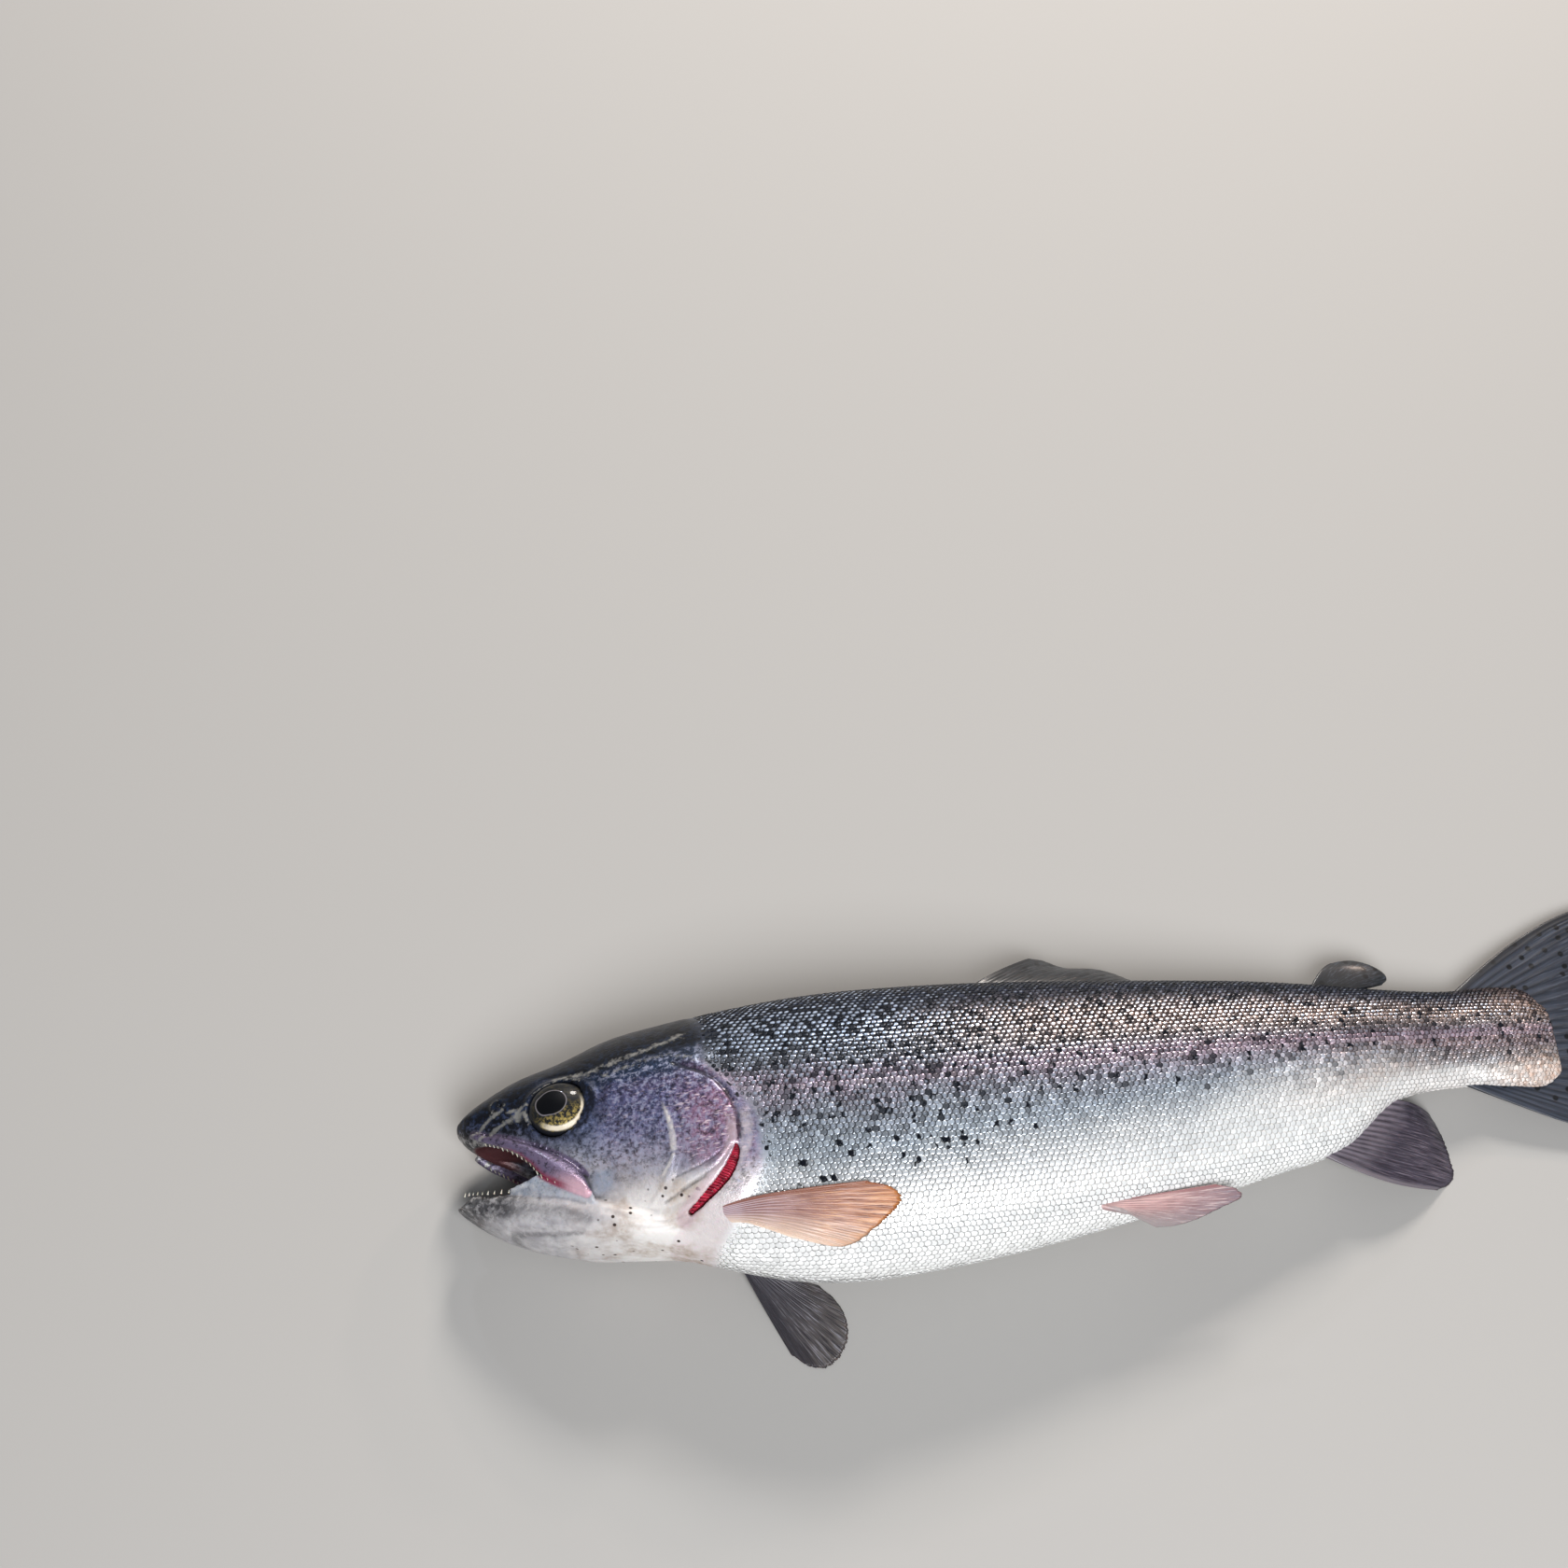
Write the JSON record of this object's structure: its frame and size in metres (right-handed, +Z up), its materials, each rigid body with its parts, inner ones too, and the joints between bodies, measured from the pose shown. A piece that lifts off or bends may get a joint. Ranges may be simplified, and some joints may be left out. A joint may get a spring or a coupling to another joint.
{
  "type": "rainbow trout",
  "caption": "Rainbow trout, life size and still, lying on its right side with the mouth open, the gill cover lifted and the fins folded back.",
  "frame": {"origin": "on the flat of the right flank where the fish lies on the floor, 150 mm behind the snout and 16 mm below the line from the snout to the middle of the tail's root", "axes": "+X from the snout to the tail, +Y from the belly to the back, +Z up, away from the floor and out of the left flank"},
  "size_m": [0.371, 0.1236, 0.0483],
  "materials": {
    "scaled_skin": "wet silvery scales, near black on the back, white on the belly",
    "head_skin": "wet smooth skin, slate blue with a pink-violet cheek",
    "jaw_skin": "wet smooth white skin with a grey tip",
    "mouth_lining": "wet pale pink lining",
    "gill_tissue": "wet deep red filaments",
    "eye": "clear wet eye with a black pupil and a brown-gold iris",
    "dark_fin": "wet slate membrane over fine rays",
    "warm_fin": "wet orange-tan membrane over fine rays"
  },
  "bodies": {
    "root": {"head": "head_skin", "lower_jaw": "jaw_skin", "tongue": "mouth_lining", "gills_left": "gill_tissue", "trunk": "scaled_skin", "tail_stalk": "scaled_skin", "eye_left": "eye", "eye_right": "eye", "gill_cover_left": "head_skin", "gill_cover_right": "head_skin", "maxilla_left": "head_skin", "maxilla_right": "head_skin", "dorsal_fin": "dark_fin", "adipose_fin": "dark_fin", "anal_fin": "dark_fin", "tail_fin": "dark_fin", "pectoral_fin_left": "warm_fin", "pelvic_fin_left": "warm_fin", "pectoral_fin_right": "dark_fin", "pelvic_fin_right": "dark_fin"}
  },
  "joints": []
}
